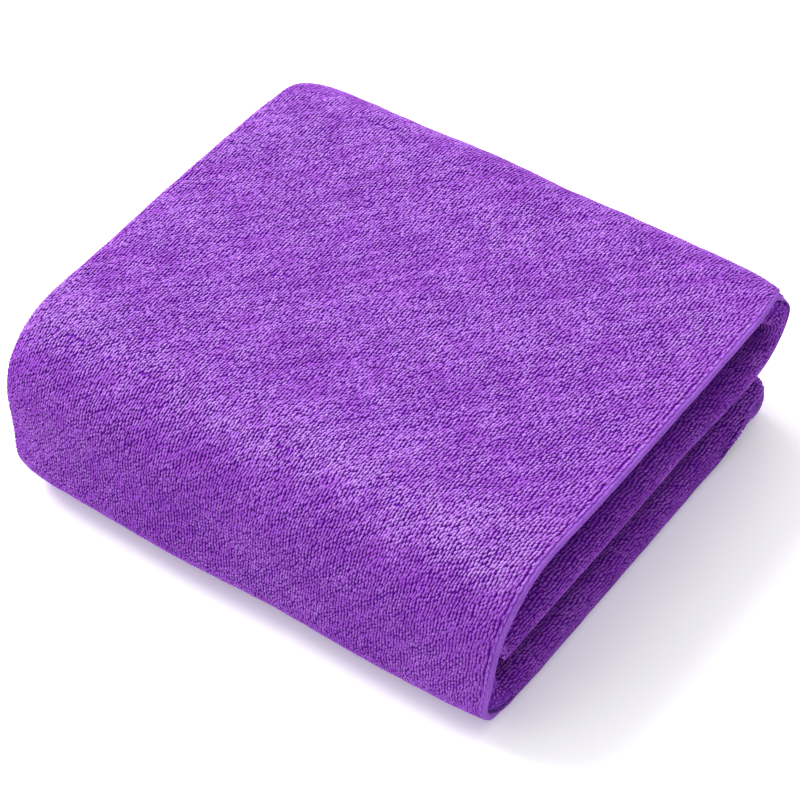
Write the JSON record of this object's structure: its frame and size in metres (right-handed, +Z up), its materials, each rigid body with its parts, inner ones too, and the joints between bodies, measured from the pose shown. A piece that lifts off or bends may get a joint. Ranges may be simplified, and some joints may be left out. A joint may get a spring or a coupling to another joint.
{
  "type": "quick dry towel",
  "caption": "Folded microfibre terry towel: a soft rectangular block wound in three panels, open at one end, with a narrow tape sewn round its edges.",
  "frame": {"origin": "on the surface that the towel lies on, under the middle of its box", "axes": "+X along the side folds' length of 150 mm, from the folded side at the left to the open edges at the right; +Y from the front fold to the back fold; +Z up"},
  "size_m": [0.15, 0.1312, 0.0459],
  "materials": {
    "terry": "ribbed pile, matt with a soft sheen",
    "tape": "smooth knit, satin",
    "thread": "spun thread, satin"
  },
  "bodies": {
    "root": {"terry_cloth": "terry", "side_tape_a": "tape", "side_tape_b": "tape", "side_thread_a_outer": "thread", "side_thread_a_inner": "thread", "side_thread_b_outer": "thread", "side_thread_b_inner": "thread", "end_tape_lower": "tape", "end_thread_lower_outer": "thread", "end_thread_lower_inner": "thread", "end_tape_upper": "tape", "end_thread_upper_outer": "thread", "end_thread_upper_inner": "thread"}
  },
  "joints": []
}
